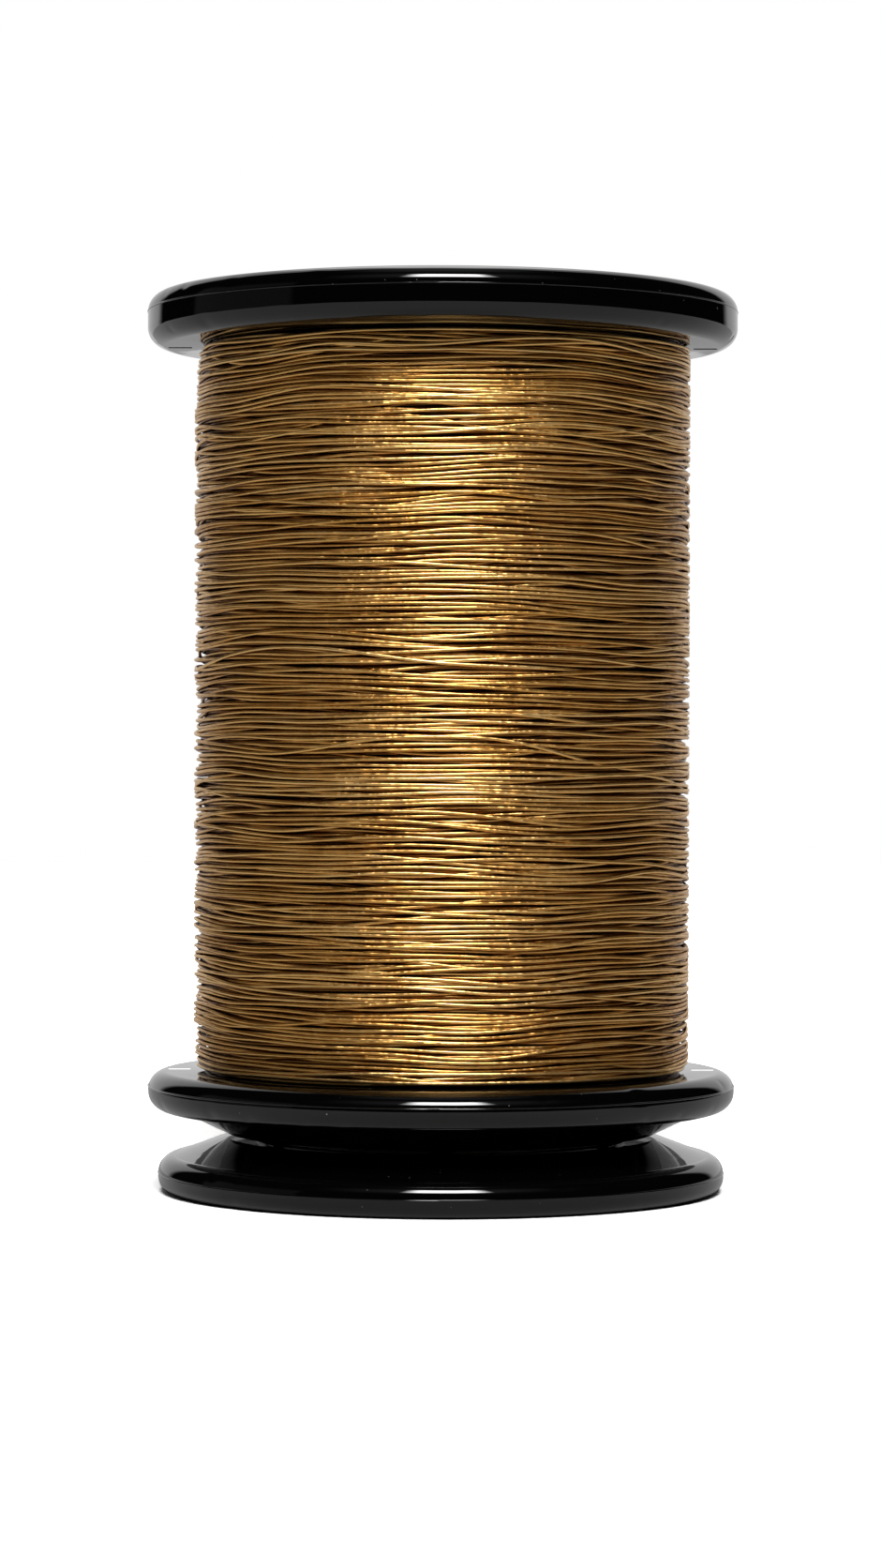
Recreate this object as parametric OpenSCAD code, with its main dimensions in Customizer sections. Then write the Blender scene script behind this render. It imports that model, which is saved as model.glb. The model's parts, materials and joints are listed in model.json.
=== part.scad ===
// Fine wire on a flanged spool with a snap base
//
// The spool body is one hollow moulding: a top flange, a barrel and a lower flange. The base is
// a second moulding. Its split collar snaps into the barrel, and the V groove between the two
// leads the wire's free end into a narrow seam that holds it. Pulling the base down by its
// travel opens the seam and frees the wire.
//
// Millimetres, +Z up. The origin is on the spool's axis, at the face that the base stands on.

/* [Flanges] */
// Radius of the top flange
top_flange_r = 10; // [9.75:0.05:14]
// Thickness of the top flange
top_flange_t = 1.76; // [1.5:0.01:3]
// Radius of the lower flange
lower_flange_r = 9.95; // [9.75:0.05:14]
// Thickness of the lower flange at its rim
lower_flange_t = 1.32; // [1.28:0.01:2.5]
// Rounding of a flange's inner edge, beside the wire
inner_round = 0.62; // [0.3:0.01:0.66]
// Rounding of the top flange's upper edge
top_round = 0.6; // [0.3:0.05:0.7]
// Rounding of the lower flange's bottom edge
lower_round = 0.65; // [0.3:0.05:0.65]

/* [Barrel] */
// Radius that the wire is wound on
barrel_r = 7.3; // [6.5:0.05:8.8]
// Wall of the barrel
barrel_wall = 1; // [0.8:0.05:1.3]
// Clear length between the flanges, for the wire
winding_length = 24.51; // [18:0.01:60]

/* [Spindle bore] */
// Radius of the hole for a spindle, through both ends
spindle_r = 3.2; // [2:0.1:4]
// Wall of the hub round the hole
hub_wall = 1; // [0.7:0.05:1.2]
// Length of the upper hub, down from the top face
top_hub_length = 4; // [2:0.1:6]
// Length of the lower hub, up from the bottom face
base_hub_length = 4; // [2.5:0.1:6]
// Bevel at each mouth of the spindle hole
bore_bevel = 0.25; // [0.1:0.05:0.4]

/* [Wire] */
// Diameter of the wire
wire_d = 0.12; // [0.08:0.01:0.2]
// Depth of the winding on the barrel, at the lower flange
winding_depth = 1.05; // [0.4:0.01:1.3]
// Extra depth of the winding at the top flange
winding_taper = 0.05; // [0:0.01:0.2]
// Gap between the outermost turns and the flange at each end
winding_end_gap = 0.12; // [0.02:0.01:0.4]
// Depth over which the winding's ends step back to that gap
winding_end_step = 0.3; // [0.1:0.05:0.35]
// Hole in the barrel wall for the wire's first end
start_hole_r = 0.4; // [0.2:0.05:0.6]
// Height of that hole above the lower flange
start_hole_rise = 5; // [4.2:0.1:10]
// Length of the first end, along the inside of the barrel
start_tail_length = 9; // [3:0.5:12]

/* [Snap base] */
// Radius of the base
base_r = 9.6; // [9.3:0.05:14]
// Height of the base's rim
base_rim_h = 1.23; // [1.15:0.01:2.5]
// Rounding of the base's upper edge
base_top_round = 0.59; // [0.3:0.01:0.6]
// Rounding of the base's bottom edge
base_foot_round = 0.5; // [0.2:0.01:0.55]
// Height that the base's cone rises from its rim to the seam
base_cone_h = 0.63; // [0.3:0.01:1.2]
// Width of the flat ring between the lower flange's rounding and its cone
flange_cone_flat = 0.46; // [0.1:0.02:0.6]
// Height that the lower flange's cone rises from the seam
flange_cone_h = 0.75; // [0.3:0.01:1.2]
// Seam between body and base when closed, beyond the wire's diameter
seam_play = 0.03; // [0.01:0.01:0.1]
// How far the base pulls down to open the seam
base_travel = 1.2; // [0.6:0.1:1.5]
// Length of the collar that holds the base in the barrel
collar_length = 4.6; // [3.5:0.1:5.2]
// Wall of that collar
collar_wall = 0.9; // [0.6:0.05:1.2]
// Slots that let the collar spring inwards
collar_slots = 6; // [4:1:8]
// Width of each slot
collar_slot_w = 0.8; // [0.5:0.1:1.2]
// How far the snap bead stands out from the collar
bead_h = 0.2; // [0.1:0.01:0.25]
// Length of the bead's outer face
bead_land = 0.3; // [0.2:0.05:0.6]
// Radial clearance of the collar in the barrel
collar_play = 0.05; // [0.02:0.01:0.1]

/* [Labels and mould marks] */
// Inner radius of each blank label
label_inner_r = 4.5; // [4.4:0.1:6]
// Outer radius of each blank label
label_outer_r = 8.4; // [6.5:0.1:8.6]
// Thickness of a label
label_t = 0.1; // [0.05:0.01:0.2]
// Clearance of a label in its recess, all round and in depth
label_play = 0.08; // [0.05:0.01:0.2]
// How far a mould's parting line stands out
flash_h = 0.03; // [0.01:0.01:0.06]
// Drop of the lower flange's parting line below its inner face
lower_parting_drop = 0.5; // [0.4:0.01:0.55]
// Width of a parting line
flash_w = 0.06; // [0.04:0.01:0.1]

/* [Hidden] */
$fn = 96;

plastic_colour = [0.02, 0.02, 0.022];
wire_colour = [0.72, 0.55, 0.27];
paper_colour = [0.9, 0.88, 0.82];

// Heights, from the bottom up
seam_low_z = base_rim_h + base_cone_h;
seam_gap = wire_d + seam_play;
seam_high_z = seam_low_z + seam_gap;
lower_under_z = seam_high_z + flange_cone_h;
lower_face_z = lower_under_z + lower_flange_t;
upper_face_z = lower_face_z + winding_length;
top_z = upper_face_z + top_flange_t;

// Radii, from the axis out
hub_r = spindle_r + hub_wall;
barrel_bore_r = barrel_r - barrel_wall;
collar_r = barrel_bore_r - collar_play;
collar_bore_r = collar_r - collar_wall;
winding_low_r = barrel_r + winding_depth;
winding_high_r = winding_low_r + winding_taper;
winding_low_z = lower_face_z + winding_end_gap;
winding_high_z = upper_face_z - winding_end_gap;
flange_cone_r = lower_flange_r - lower_round - flange_cone_flat;
flange_cone_angle = atan(flange_cone_h / (flange_cone_r - barrel_r));

// Snap bead on the collar, and the groove that it travels in
collar_top_z = seam_low_z + collar_length;
bead_top_z = collar_top_z - bead_h;
bead_low_z = bead_top_z - bead_land - 2 * bead_h;
snap_groove_r = collar_r + bead_h + collar_play;
snap_groove_low_z = bead_low_z - base_travel - collar_play;
snap_groove_high_z = bead_top_z + collar_play;

// Labels
label_recess = label_t + label_play;
start_hole_z = lower_face_z + start_hole_rise;
start_hole_azimuth = 90;
overlap = 0.2;

// ---- Profiles, drawn as radius and height ----

// A flange or disc whose two rim edges are rounded.
module rim_profile(inner_r, rim_r, low_z, high_z, low_round, high_round) {
  span(inner_r, rim_r - max(low_round, high_round), low_z, high_z);
  span(inner_r, rim_r - low_round, low_z, high_z - high_round);
  span(inner_r, rim_r - high_round, low_z + low_round, high_z);
  span(inner_r, rim_r, low_z + low_round, high_z - high_round);
  translate([rim_r - low_round, low_z + low_round]) circle(r = low_round);
  translate([rim_r - high_round, high_z - high_round]) circle(r = high_round);
}

// A plain rectangle between two radii and two heights.
module span(inner_r, outer_r, low_z, high_z) {
  translate([inner_r, low_z]) square([outer_r - inner_r, high_z - low_z]);
}

// The thin ridge that a mould leaves round a rim.
module flash_ring(rim_r, z) {
  span(rim_r - overlap, rim_r + flash_h, z - flash_w / 2, z + flash_w / 2);
}

// The bevel that opens one mouth of the spindle hole. A direction of 1 faces up.
module bore_mouth(z, direction) {
  polygon([
    [spindle_r - overlap, z + direction * overlap],
    [spindle_r + bore_bevel + overlap, z + direction * overlap],
    [spindle_r + bore_bevel, z],
    [spindle_r, z - direction * bore_bevel],
    [spindle_r - overlap, z - direction * bore_bevel]
  ]);
}

// The shallow recess that a label lies in. It is cut from low_z to high_z.
module label_recess_profile(low_z, high_z) {
  span(label_inner_r - label_play, label_outer_r + label_play, low_z, high_z);
}

module body_profile() {
  difference() {
    union() {
      rim_profile(spindle_r, top_flange_r, upper_face_z, top_z, inner_round, top_round);
      rim_profile(barrel_bore_r, lower_flange_r, lower_under_z, lower_face_z, lower_round, inner_round);
      span(barrel_bore_r, barrel_r, seam_high_z, upper_face_z + overlap);
      span(spindle_r, hub_r, top_z - top_hub_length, top_z);
      polygon([
        [barrel_bore_r, seam_high_z],
        [barrel_r, seam_high_z],
        [flange_cone_r, lower_under_z],
        [flange_cone_r, lower_under_z + overlap],
        [barrel_bore_r, lower_under_z + overlap]
      ]);
      flash_ring(top_flange_r, top_z - top_round);
      flash_ring(lower_flange_r, lower_face_z - lower_parting_drop);
    }
    label_recess_profile(top_z - label_recess, top_z + overlap);
    bore_mouth(top_z, 1);
    bore_mouth(top_z - top_hub_length, -1);
    span(barrel_bore_r - overlap, snap_groove_r, snap_groove_low_z, snap_groove_high_z);
  }
}

module base_profile() {
  rim_crown_r = base_r - base_top_round;
  difference() {
    union() {
      rim_profile(spindle_r, base_r, 0, base_rim_h, base_foot_round, base_top_round);
      polygon([
        [spindle_r, base_rim_h - overlap],
        [rim_crown_r, base_rim_h - overlap],
        [rim_crown_r, base_rim_h],
        [barrel_r, seam_low_z],
        [spindle_r, seam_low_z]
      ]);
      span(spindle_r, hub_r, 0, base_hub_length);
      span(collar_bore_r, collar_r, seam_low_z - overlap, collar_top_z);
      polygon([
        [collar_r - overlap, bead_low_z],
        [collar_r, bead_low_z],
        [collar_r + bead_h, bead_low_z + bead_h],
        [collar_r + bead_h, bead_low_z + bead_h + bead_land],
        [collar_r, bead_top_z],
        [collar_r - overlap, bead_top_z]
      ]);
      flash_ring(base_r, base_rim_h - base_top_round);
    }
    label_recess_profile(-overlap, label_recess);
    bore_mouth(0, -1);
    bore_mouth(base_hub_length, 1);
  }
}

// ---- Wire tails: a tube swept along points given as azimuth, radius and height ----

function round_point(p) = [p[1] * cos(p[0]), p[1] * sin(p[0]), p[2]];
function clamped(list, i) = list[min(max(i, 0), len(list) - 1)];
// One point of a smooth curve through p1 and p2, at t from 0 to 1.
function blend_point(p0, p1, p2, p3, t) =
  0.5 * ((2 * p1) + (p2 - p0) * t + (2 * p0 - 5 * p1 + 4 * p2 - p3) * t * t
  + (3 * p1 - p0 - 3 * p2 + p3) * t * t * t);
function smooth_route(route, steps) = [
  for (i = [0 : len(route) - 2], s = [0 : steps - 1])
    round_point(blend_point(clamped(route, i - 1), route[i], route[i + 1], clamped(route, i + 2), s / steps)),
  round_point(route[len(route) - 1])
];
function unit(v) = v / norm(v);
function heading(path, i) = unit(clamped(path, i + 1) - clamped(path, i - 1));
function level_across(v, along) = unit(v - (v * along) * along);
// A side direction at each ring, carried along so that the tube doesn't twist.
function side_directions(path, i, last) =
  i == len(path) ? [] :
  let (side = level_across(last, heading(path, i))) concat([side], side_directions(path, i + 1, side));

module wire_tube(route, first_side, steps = 3, sides = 8) {
  path = smooth_route(route, steps);
  across = side_directions(path, 0, first_side);
  points = [
    for (i = [0 : len(path) - 1], k = [0 : sides - 1])
      path[i] + wire_d / 2 * (cos(360 * k / sides) * across[i]
        + sin(360 * k / sides) * cross(heading(path, i), across[i]))
  ];
  last = len(path) - 1;
  walls = [
    for (i = [0 : last - 1], k = [0 : sides - 1])
      let (next = (k + 1) % sides)
        [i * sides + next, i * sides + k, (i + 1) * sides + k, (i + 1) * sides + next]
  ];
  caps = [
    [for (k = [0 : sides - 1]) k],
    [for (k = [sides - 1 : -1 : 0]) last * sides + k]
  ];
  polyhedron(points = points, faces = concat(caps, walls), convexity = 6);
}

// ---- Sub-parts ----

// Body: top flange, hub, barrel and lower flange, one hollow moulding.
module spool_body() {
  color(plastic_colour) difference() {
    union() {
      rotate_extrude() body_profile();
      face_seam(top_flange_r, upper_face_z);
      face_seam(lower_flange_r, lower_face_z);
    }
    rotate([0, 0, start_hole_azimuth])
      translate([(barrel_bore_r + barrel_r) / 2, 0, start_hole_z])
        rotate([0, 90, 0])
          cylinder(r = start_hole_r, h = barrel_wall + 2 * overlap, center = true);
  }
}

// The line that the mould's two halves leave on a flange's inner face, outside the wire.
module face_seam(rim_r, face_z) {
  seam_start_r = winding_high_r + wire_d;
  seam_end_r = rim_r - inner_round - flash_w;
  if (seam_end_r > seam_start_r)
    for (side = [0, 180])
      rotate([0, 0, side])
        translate([seam_start_r, -flash_w / 2, face_z - flash_h])
          cube([seam_end_r - seam_start_r, flash_w, 2 * flash_h]);
}

// Base: foot, hub and split snap collar.
module snap_base() {
  slot_low_z = seam_low_z + collar_wall;
  slot_length = collar_wall + bead_h + 2 * overlap;
  color(plastic_colour) difference() {
    rotate_extrude() base_profile();
    for (i = [0 : collar_slots - 1])
      rotate([0, 0, (i + 0.5) * 360 / collar_slots])
        translate([collar_bore_r - overlap, -collar_slot_w / 2, slot_low_z])
          cube([slot_length, collar_slot_w, collar_top_z - slot_low_z + overlap]);
  }
}

// The wound wire as one pack, from the barrel out.
module wire_winding() {
  color(wire_colour) rotate_extrude() polygon([
    [barrel_r, lower_face_z],
    [winding_low_r - winding_end_step, lower_face_z],
    [winding_low_r, winding_low_z],
    [winding_high_r, winding_high_z],
    [winding_high_r - winding_end_step, upper_face_z],
    [barrel_r, upper_face_z]
  ]);
}

// First end of the wire: through the barrel's hole, then up along the inside of the barrel.
module wire_start_tail() {
  inside_r = barrel_bore_r - wire_d;
  rise = start_tail_length;
  color(wire_colour) wire_tube([
    [start_hole_azimuth, barrel_r, start_hole_z],
    [start_hole_azimuth, barrel_r - 0.6 * barrel_wall, start_hole_z],
    [start_hole_azimuth + 1, inside_r, start_hole_z + 0.05 * rise],
    [start_hole_azimuth + 3, inside_r - wire_d, start_hole_z + 0.12 * rise],
    [start_hole_azimuth + 8, inside_r - wire_d, start_hole_z + 0.4 * rise],
    [start_hole_azimuth + 12, inside_r, start_hole_z + 0.7 * rise],
    [start_hole_azimuth + 20, inside_r, start_hole_z + rise]
  ], [0, 0, 1]);
}

// Free end of the wire: off the winding, over the lower flange, down the V groove, into the
// seam, and out again as a short end. The wire's middle keeps a named lift off each face.
module wire_finish_tail() {
  lift = wire_d / 2 + seam_play / 2;
  wound_r = winding_low_r + lift;
  seam_z = seam_low_z + seam_gap / 2;
  seam_r = barrel_r - 3 * wire_d;
  function over_rim(azimuth, turn) = [
    azimuth,
    max(wound_r, lower_flange_r - inner_round + (inner_round + lift) * sin(turn)),
    lower_face_z - inner_round + (inner_round + lift) * cos(turn)
  ];
  function under_rim(azimuth, turn) = [
    azimuth,
    lower_flange_r - lower_round + (lower_round + lift) * cos(turn),
    lower_under_z + lower_round - (lower_round + lift) * sin(turn)
  ];
  function on_cone(azimuth, share) = [
    azimuth,
    barrel_r + share * (flange_cone_r - barrel_r) + lift * sin(flange_cone_angle),
    seam_high_z + share * flange_cone_h - lift * cos(flange_cone_angle)
  ];
  color(wire_colour) wire_tube([
    [44, wound_r, winding_low_z + 6 * wire_d],
    [56, wound_r, winding_low_z + 3 * wire_d],
    [66, wound_r + lift, lower_face_z + 2.5 * wire_d],
    over_rim(72, 0),
    over_rim(75, 15),
    over_rim(77.5, 45),
    over_rim(79, 80),
    under_rim(81, 10),
    under_rim(82.5, 45),
    under_rim(84.5, 80),
    on_cone(92, 0.5),
    on_cone(99, 0.15),
    [106, barrel_r, seam_z],
    [112, seam_r, seam_z],
    [122, seam_r, seam_z],
    [128, barrel_r, seam_z],
    [132, barrel_r + 4 * wire_d, seam_z + wire_d / 2],
    [136, barrel_r + 8 * wire_d, seam_z + 2 * wire_d]
  ], [0, 0, 1]);
}

// Blank label in the top face.
module top_label() {
  color(paper_colour) blank_label(top_z - label_recess);
}

// Blank label in the face that the spool stands on, clear of the ground.
module base_label() {
  color(paper_colour) blank_label(label_recess - label_t);
}

module blank_label(low_z) {
  rotate_extrude() span(label_inner_r, label_outer_r, low_z, low_z + label_t);
}

spool_body();
snap_base();
wire_winding();
wire_start_tail();
wire_finish_tail();
top_label();
base_label();
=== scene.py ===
# %% [markdown]
# # A small spool of gold wire
#
# The spool is two glossy black mouldings: a hollow body with a flange at each end of its
# barrel, and a snap base under it. Some 90 m of hair-fine wire is wound on the barrel. The
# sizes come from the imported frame, which is loaded first. The visual pieces are then built on
# the same axis, in millimetres, and turned into metres once, when a mesh is made.

# %% Load the frame
import json
import math
import bpy
import numpy as np
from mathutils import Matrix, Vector


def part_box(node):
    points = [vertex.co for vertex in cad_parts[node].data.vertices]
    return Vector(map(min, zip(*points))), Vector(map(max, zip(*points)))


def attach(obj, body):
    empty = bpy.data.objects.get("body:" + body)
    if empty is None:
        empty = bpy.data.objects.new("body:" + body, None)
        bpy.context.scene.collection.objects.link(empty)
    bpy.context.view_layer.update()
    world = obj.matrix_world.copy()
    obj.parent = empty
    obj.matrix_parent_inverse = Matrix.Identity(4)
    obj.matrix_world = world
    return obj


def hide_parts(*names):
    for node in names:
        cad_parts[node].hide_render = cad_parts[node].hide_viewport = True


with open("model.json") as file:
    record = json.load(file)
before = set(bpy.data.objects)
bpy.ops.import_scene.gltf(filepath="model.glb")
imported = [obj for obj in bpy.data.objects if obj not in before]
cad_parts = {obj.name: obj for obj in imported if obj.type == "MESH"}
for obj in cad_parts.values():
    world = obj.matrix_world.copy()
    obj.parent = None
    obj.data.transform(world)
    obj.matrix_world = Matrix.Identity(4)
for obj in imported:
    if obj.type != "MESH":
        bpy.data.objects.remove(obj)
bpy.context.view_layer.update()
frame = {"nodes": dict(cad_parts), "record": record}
print("frame nodes:", sorted(frame["nodes"]))

# %% [markdown]
# ## Sizes
#
# A piece has to sit exactly where the frame has it, so every overall size is read from the
# boxes of the frame's nodes. Only small things that a box doesn't show, such as the rounding
# of a rim, are named here.

# %% Sizes that the frame gives
MM = 0.001


def box_mm(node):
    """Lowest and highest corner of a node of the frame, in millimetres."""
    low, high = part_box(node)
    return low / MM, high / MM


# The mould ridges stand this far out, so the boxes of the mouldings include them
flash_h = 0.03
body_low, body_high = box_mm("spool_body")
base_high = box_mm("snap_base")[1]
wound_low, wound_high = box_mm("wire_winding")
top_label_high = box_mm("top_label")[1]
bore = frame["record"]["mounts"][0]["dims"]

top_z = body_high.z
top_flange_r = body_high.x - flash_h
seam_high_z = body_low.z
base_r = base_high.x - flash_h
collar_top_z = base_high.z
wound_low_z, wound_high_z = wound_low.z, wound_high.z
winding_r = wound_high.x
spindle_r, hub_length = bore["r_mm"], bore["length_mm"]
label_outer_r = top_label_high.x
print(f"height {top_z:.2f} mm, flange {top_flange_r:.2f} mm, winding {winding_r:.2f} mm in radius")

# %% Small sizes named here
# The wire, and the gap that its outer layer leaves at each flange
wire_d = 0.12
winding_end_gap = 0.12
# Flanges: their thickness, and the rounding of each rim above and below
top_flange_t, top_round, inner_round = 1.76, 0.6, 0.62
lower_flange_r, lower_flange_t, lower_round = 9.95, 1.32, 0.65
# The cone under the lower flange, and the flat ring outside it
flange_cone_h, flange_cone_flat = 0.75, 0.46
# The lower flange's parting line, below its upper face
parting_drop = 0.5
# Walls inside, and the bevel at each mouth of the bore
barrel_r, barrel_wall, hub_wall = 7.3, 1.0, 1.0
bore_bevel = 0.25
# The base's rim: its height, and its rounding above and below
base_rim_h, base_top_round, base_foot_round = 1.23, 0.59, 0.5
# The split collar with its snap bead, and how far the base slides
collar_wall, bead_h, bead_land = 0.9, 0.2, 0.3
collar_slots, collar_slot_w = 6, 0.8
collar_play, seam_play = 0.05, 0.03
base_travel = 1.2
# The labels, and the rounding of every small moulded edge
label_inner_r, label_play, label_t = 4.5, 0.08, 0.1
edge_r = 0.04

upper_face_z = top_z - top_flange_t
lower_under_z = seam_high_z + flange_cone_h
lower_face_z = lower_under_z + lower_flange_t
seam_low_z = seam_high_z - wire_d - seam_play
hub_r = spindle_r + hub_wall
barrel_bore_r = barrel_r - barrel_wall
collar_r = barrel_bore_r - collar_play
flange_cone_r = lower_flange_r - lower_round - flange_cone_flat
label_recess = label_t + label_play
winding_low_z, winding_high_z = wound_low_z + winding_end_gap, wound_high_z - winding_end_gap
print(f"flange faces at {lower_face_z:.2f} and {upper_face_z:.2f} mm")
print(f"wire ends at {winding_low_z:.2f} and {winding_high_z:.2f} mm")

# %% [markdown]
# ## From an outline to a turned piece
#
# Both mouldings are turned shapes. A moulding has no razor edges, so an outline is written as
# a loop of corners, each with its own rounding, and a helper replaces each corner by an arc.
# The loop is then carried round the axis. A Screw modifier could do that, but plain arrays
# make it easy to dent the rims afterwards.

# %% A loop of corners with rounded edges
ARC_STEPS = 14
EDGE_STEPS = 3


def rounded_loop(corners):
    """Points of a closed outline from corners given as radius, height and rounding."""
    points = []
    for i, (r, z, rounding) in enumerate(corners):
        here = np.array([r, z])
        before = np.array(corners[i - 1][:2]) - here
        after = np.array(corners[(i + 1) % len(corners)][:2]) - here
        before, after = before / np.linalg.norm(before), after / np.linalg.norm(after)
        if rounding == 0:
            points.append(here)
            continue
        half_angle = math.acos(np.clip(before @ after, -1, 1)) / 2
        middle = (before + after) / np.linalg.norm(before + after)
        centre = here + middle * rounding / math.sin(half_angle)
        reach = rounding / math.tan(half_angle)
        start, end = here + before * reach - centre, here + after * reach - centre
        steps = max(EDGE_STEPS, round(ARC_STEPS * (math.pi - 2 * half_angle) / (math.pi / 2)))
        if rounding <= 2 * edge_r:
            steps = EDGE_STEPS
        turn = math.atan2(start[0] * end[1] - start[1] * end[0], start @ end)
        for k in range(steps + 1):
            a = turn * k / steps
            points.append(centre + [
                start[0] * math.cos(a) - start[1] * math.sin(a),
                start[0] * math.sin(a) + start[1] * math.cos(a),
            ])
    return np.array(points)


# %% Carry a loop round the axis
RIM_STEPS = 384


def turned(loop, steps=RIM_STEPS, start=0.0, sweep=360.0):
    """Vertices and faces of a loop carried round the axis. Less than a full turn is left open."""
    full = sweep >= 360
    rings = steps if full else steps + 1
    angles = np.radians(start + sweep * np.arange(rings) / steps)
    vertices = np.stack([
        loop[None, :, 0] * np.cos(angles)[:, None],
        loop[None, :, 0] * np.sin(angles)[:, None],
        np.broadcast_to(loop[None, :, 1], (rings, len(loop))),
    ], axis=-1).reshape(-1, 3)
    count = len(loop)
    ring = np.arange(steps)[:, None] * count
    following = (np.arange(steps)[:, None] + 1) % rings * count
    here, there = np.arange(count)[None, :], (np.arange(count)[None, :] + 1) % count
    faces = np.stack([ring + here, following + here, following + there, ring + there], axis=-1)
    return vertices, faces.reshape(-1, 4).tolist()


def capped(loop, start, sweep, steps):
    """A loop carried part of the way round and closed at both ends."""
    vertices, faces = turned(loop, steps, start, sweep)
    last = steps * len(loop)
    faces.append(list(range(len(loop)))[::-1])
    faces.append([last + k for k in range(len(loop))])
    return vertices, faces


# %% Make one object from several parts
def make_object(name, parts, sharp_degrees=None):
    """One mesh object in metres from (vertices in millimetres, faces) pairs."""
    vertices, faces, offset = [], [], 0
    for part_vertices, part_faces in parts:
        vertices.append(part_vertices)
        faces += [[i + offset for i in face] for face in part_faces]
        offset += len(part_vertices)
    mesh = bpy.data.meshes.new(name)
    mesh.from_pydata((np.concatenate(vertices) * MM).tolist(), [], faces)
    mesh.shade_smooth()
    if sharp_degrees is not None:
        mesh.set_sharp_from_angle(angle=math.radians(sharp_degrees))
    piece = bpy.data.objects.new(name, mesh)
    bpy.context.scene.collection.objects.link(piece)
    print(f"{name}: {len(mesh.vertices)} vertices, {len(mesh.polygons)} faces")
    return piece


# %% [markdown]
# ## The body's outline
#
# The loop runs out over the top face and its label recess, round the top flange's rim, down
# the barrel, round the lower flange, along the cone that leads the wire into the seam, and
# back up the inside, past the groove that the base's snap bead moves in.

# %% Outline of the body
bead_top_z = collar_top_z - bead_h
snap_groove_r = collar_r + bead_h + collar_play
snap_groove_low_z = bead_top_z - bead_land - 2 * bead_h - base_travel - collar_play
snap_groove_high_z = bead_top_z + collar_play
recess_in, recess_out = label_inner_r - label_play, label_outer_r + label_play

body_corners = [
    (spindle_r, top_z - bore_bevel, edge_r),
    (spindle_r + bore_bevel, top_z, edge_r),
    (recess_in, top_z, edge_r),
    (recess_in, top_z - label_recess, 0),
    (recess_out, top_z - label_recess, 0),
    (recess_out, top_z, edge_r),
    (top_flange_r, top_z, top_round),
    (top_flange_r, upper_face_z, inner_round),
    (barrel_r, upper_face_z, edge_r),
    (barrel_r, lower_face_z, edge_r),
    (lower_flange_r, lower_face_z, inner_round),
    (lower_flange_r, lower_under_z, lower_round),
    (flange_cone_r, lower_under_z, edge_r),
    (barrel_r, seam_high_z, edge_r),
    (barrel_bore_r, seam_high_z, edge_r),
    (barrel_bore_r, snap_groove_low_z, 0),
    (snap_groove_r, snap_groove_low_z, 0),
    (snap_groove_r, snap_groove_high_z, 0),
    (barrel_bore_r, snap_groove_high_z, 0),
    (barrel_bore_r, upper_face_z, edge_r),
    (hub_r, upper_face_z, edge_r),
    (hub_r, top_z - hub_length, edge_r),
    (spindle_r + bore_bevel, top_z - hub_length, 0),
    (spindle_r, top_z - hub_length + bore_bevel, 0),
]
body_loop = rounded_loop(body_corners)
print("body outline:", len(body_loop), "points")

# %% [markdown]
# ## Mould marks
#
# Where the mould's halves meet, plastic creeps out as a hair-thin ridge. It runs round each
# rim, and across the inner faces on two sides. A real ridge isn't even: it is worn in some
# places and stands proud in others, so its height follows a slow random wave.

# %% A slow random wave round the axis
def wave_round(angles, seed, slowest=2, fastest=24):
    """A repeatable wave between about -1 and 1 for each angle in radians."""
    random = np.random.default_rng(seed)
    total = np.zeros_like(angles)
    for turns in range(slowest, fastest):
        size = random.normal() / math.sqrt(turns)
        total += size * np.cos(turns * angles + random.uniform(0, 2 * math.pi))
    return total / np.abs(total).max()


# %% The ridge round a rim and the ridges across a face
flash_w = 0.06


def rim_ridge(rim_r, z, seed):
    """A thin uneven ridge round a rim. Its root is sunk into the rim."""
    root_r, sunk = rim_r - 0.1, 0.004
    crest = [
        [rim_r + flash_h * (1 - (2 * a) ** 2) - sunk, z + a * flash_w]
        for a in (-0.5, -0.3, 0.0, 0.3, 0.5)
    ]
    loop = np.array([[root_r, z - flash_w / 2]] + crest + [[root_r, z + flash_w / 2]])
    vertices, faces = turned(loop)
    angles = np.arctan2(vertices[:, 1], vertices[:, 0])
    radius = np.hypot(vertices[:, 0], vertices[:, 1])
    height = np.maximum(radius - rim_r, 0) * (0.25 + 0.35 * wave_round(angles, seed))
    scale = (radius - height) / radius
    vertices[:, :2] *= scale[:, None]
    return vertices, faces


def face_ridge(rim_r, face_z, side, up):
    """A thin ridge across a flange's face, from the wire to the rim, on one side."""
    start_r, end_r = winding_r + wire_d, rim_r - inner_round - flash_w
    section = [(-0.5, -0.5), (0.5, -0.5), (0.2, 1.0), (-0.2, 1.0)]
    vertices = np.array([
        [side * r, y * flash_w * 0.7, face_z + up * z * flash_h * 0.6]
        for r in (start_r, end_r) for y, z in section
    ])
    faces = [[k, (k + 1) % 4, 4 + (k + 1) % 4, 4 + k] for k in range(4)]
    return vertices, faces + [[3, 2, 1, 0], [4, 5, 6, 7]]


# %% [markdown]
# ## Handling marks on the rims
#
# A spool that has been in a tool box has small dents where its rims were knocked. Each dent
# pushes nearby vertices towards the axis, less and less with distance from its middle.

# %% Dents
def dent(vertices, azimuth, radius, z, size, depth):
    """Pushes the vertices near one spot on a rim inwards."""
    a = math.radians(azimuth)
    spot = np.array([radius * math.cos(a), radius * math.sin(a), z])
    push = depth * np.exp(-((vertices - spot) ** 2).sum(axis=1) / size ** 2)
    vertices[:, :2] *= (1 - push / np.hypot(vertices[:, 0], vertices[:, 1]))[:, None]


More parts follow.
